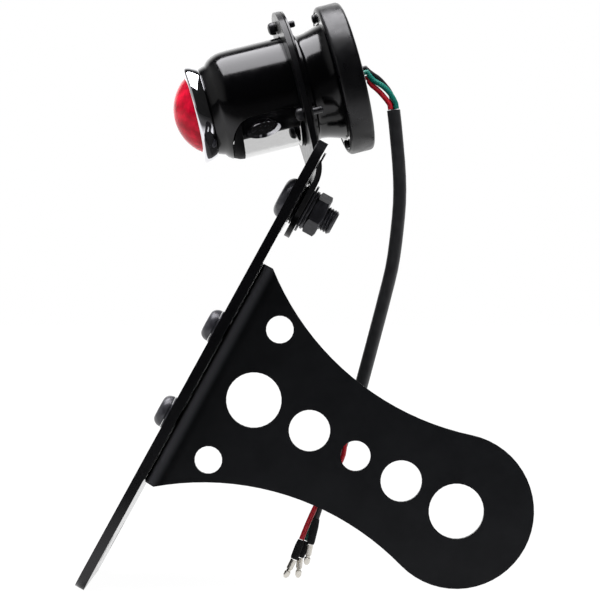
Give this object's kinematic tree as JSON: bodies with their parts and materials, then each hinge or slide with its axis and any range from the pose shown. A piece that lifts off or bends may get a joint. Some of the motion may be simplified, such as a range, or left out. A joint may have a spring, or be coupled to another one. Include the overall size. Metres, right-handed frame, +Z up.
{
  "type": "side mount license plate holder",
  "caption": "Flat plate backing with a perforated folded arm that clamps under an axle nut, and a small bullet tail lamp with a plate window and a short cord.",
  "frame": {"origin": "centre of the bounding box of the part without its cord, at the floor", "axes": "+Z up as the part stands on the plate's foot and the arm's round end; +X from the plate towards the arm's end; +Y away from the arm's outer face, across the plate"},
  "size_m": [0.1608, 0.1016, 0.2094],
  "materials": {
    "satin_black": "satin black powder coat",
    "plate_black": "satin black paint",
    "black_steel": "black oxide",
    "gloss_black": "gloss black",
    "chrome": "polished",
    "red_lens": "clear red, gloss",
    "clear_lens": "clear, gloss",
    "black_rubber": "matte",
    "black_sleeve": "satin",
    "tinned_brass": "tinned",
    "green_board": "matte",
    "black_wire": "satin",
    "green_wire": "satin",
    "red_wire": "satin"
  },
  "bodies": {
    "root": {"side_arm": "satin_black", "lamp_bracket": "satin_black", "backing_plate": "plate_black", "arm_bolt_upper": "black_steel", "arm_bolt_washer_upper": "black_steel", "arm_nut_upper": "black_steel", "arm_nut_washer_upper": "black_steel", "arm_bolt_lower": "black_steel", "arm_bolt_washer_lower": "black_steel", "arm_nut_lower": "black_steel", "arm_nut_washer_lower": "black_steel", "lamp_bolt": "black_steel", "lamp_bolt_spacer": "black_steel", "lamp_bolt_washer": "black_steel", "lamp_bolt_lock_washer": "black_steel", "lamp_bolt_nut": "black_steel", "flange_screw_1": "black_steel", "flange_screw_2": "black_steel", "flange_screw_3": "black_steel", "cup_screw_1": "black_steel", "cup_screw_2": "black_steel", "lamp_housing": "gloss_black", "rear_body": "gloss_black", "rear_cup": "gloss_black", "eye_glass": "gloss_black", "bezel_ring": "chrome", "eye_ring": "chrome", "red_lens": "red_lens", "window_lens": "clear_lens", "window_seal": "black_rubber", "wire_grommet": "black_rubber", "lamp_core": "black_rubber", "boot_red": "black_rubber", "boot_green": "black_rubber", "boot_black": "black_rubber", "wire_sleeve": "black_sleeve", "bullet_terminal_red": "tinned_brass", "bullet_terminal_green": "tinned_brass", "bullet_terminal_black": "tinned_brass", "lamp_board": "green_board", "wire_black_upper": "black_wire", "wire_black_lower": "black_wire", "wire_green_upper": "green_wire", "wire_green_lower": "green_wire", "wire_red_upper": "red_wire", "wire_red_lower": "red_wire"}
  },
  "joints": []
}
